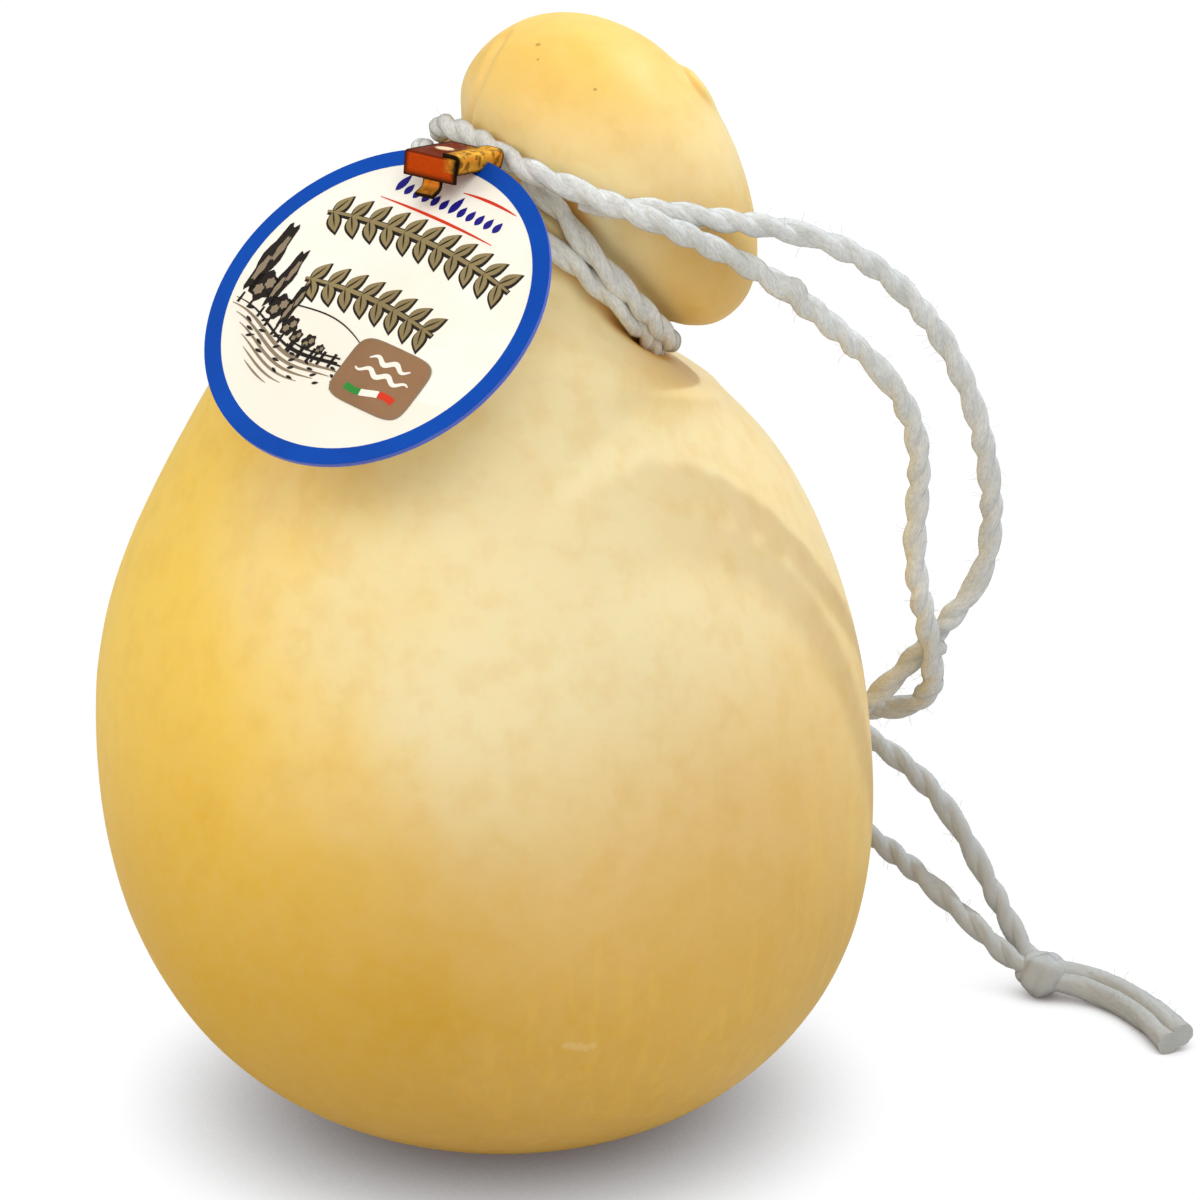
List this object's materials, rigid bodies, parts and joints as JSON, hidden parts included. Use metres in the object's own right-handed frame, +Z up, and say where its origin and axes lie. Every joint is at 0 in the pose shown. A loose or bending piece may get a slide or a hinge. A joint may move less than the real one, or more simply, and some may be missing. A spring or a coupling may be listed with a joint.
{
  "type": "caciocavallo cheese",
  "caption": "Pear-shaped stretched-curd cheese with a small round head, cotton twine tied round its neck and a round label held by a metal clip.",
  "frame": {"origin": "middle of the small flat spot that the cheese stands on", "axes": "+Z up through the body, +X to the viewer's right, the side that the head leans to, +Y away from the viewer"},
  "size_m": [0.2048, 0.1407, 0.2033],
  "materials": {
    "rind": "waxy satin",
    "card": "satin",
    "copper": "bright",
    "cotton": "fibrous"
  },
  "bodies": {
    "root": {"cheese": "rind", "label": "card", "clip": "copper", "twine_turn_lower": "cotton", "twine_turn_upper": "cotton", "twine_upper": "cotton", "twine_lower": "cotton", "twine_knot": "cotton", "twine_tail_a": "cotton", "twine_tail_b": "cotton"}
  },
  "joints": []
}
